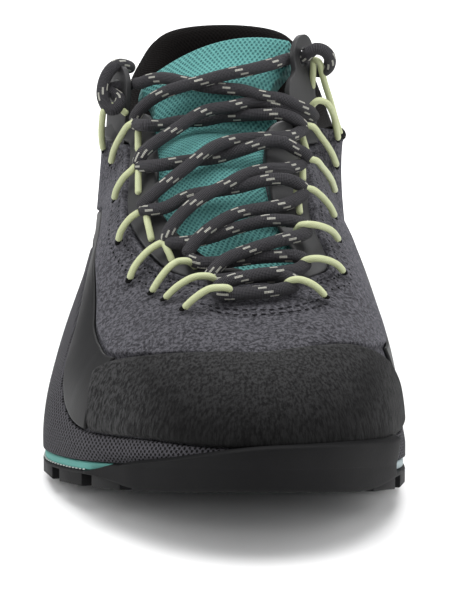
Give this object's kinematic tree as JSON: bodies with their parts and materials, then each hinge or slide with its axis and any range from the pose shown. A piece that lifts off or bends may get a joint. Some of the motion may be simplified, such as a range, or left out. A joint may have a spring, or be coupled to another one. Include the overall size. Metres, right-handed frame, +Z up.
{
  "type": "approach shoe",
  "caption": "Low-cut laced approach shoe for the right foot: suede upper, mesh rand, toe cap, padded tongue and lugged rubber outsole with a toe bumper.",
  "frame": {"origin": "on the floor under the middle of the shoe's bounding box, cords left out", "axes": "+Z up, toe along -Y, heel along +Y, inner side of the foot at +X"},
  "size_m": [0.1022, 0.2728, 0.1142],
  "materials": {
    "upper": "suede over knitted mesh, matte",
    "rand": "open mesh, matte",
    "side_band": "smooth film, satin",
    "toe_cap": "fine nap, matte",
    "outsole": "matte",
    "midsole": "foam, matte",
    "insole": "matte",
    "collar": "padded mesh, matte",
    "eyestay_lateral": "satin",
    "eyestay_medial": "satin",
    "tongue": "padded mesh, matte",
    "lace": "braided, matte",
    "lace_end_lateral": "braided, matte",
    "lace_end_medial": "braided, matte",
    "loop_lateral_1": "braided, matte",
    "loop_lateral_2": "braided, matte",
    "loop_lateral_3": "braided, matte",
    "loop_lateral_4": "braided, matte",
    "loop_lateral_5": "braided, matte",
    "loop_lateral_6": "braided, matte",
    "loop_lateral_7": "braided, matte",
    "loop_lateral_8": "braided, matte",
    "loop_medial_1": "braided, matte",
    "loop_medial_2": "braided, matte",
    "loop_medial_3": "braided, matte",
    "loop_medial_4": "braided, matte",
    "loop_medial_5": "braided, matte",
    "loop_medial_6": "braided, matte",
    "loop_medial_7": "braided, matte",
    "loop_medial_8": "braided, matte"
  },
  "bodies": {
    "root": {"upper": "upper", "rand": "rand", "side_band": "side_band", "toe_cap": "toe_cap", "outsole": "outsole", "midsole": "midsole", "insole": "insole", "collar": "collar", "eyestay_lateral": "eyestay_lateral", "eyestay_medial": "eyestay_medial", "tongue": "tongue", "lace": "lace", "lace_end_lateral": "lace_end_lateral", "lace_end_medial": "lace_end_medial", "loop_lateral_1": "loop_lateral_1", "loop_lateral_2": "loop_lateral_2", "loop_lateral_3": "loop_lateral_3", "loop_lateral_4": "loop_lateral_4", "loop_lateral_5": "loop_lateral_5", "loop_lateral_6": "loop_lateral_6", "loop_lateral_7": "loop_lateral_7", "loop_lateral_8": "loop_lateral_8", "loop_medial_1": "loop_medial_1", "loop_medial_2": "loop_medial_2", "loop_medial_3": "loop_medial_3", "loop_medial_4": "loop_medial_4", "loop_medial_5": "loop_medial_5", "loop_medial_6": "loop_medial_6", "loop_medial_7": "loop_medial_7", "loop_medial_8": "loop_medial_8"}
  },
  "joints": []
}
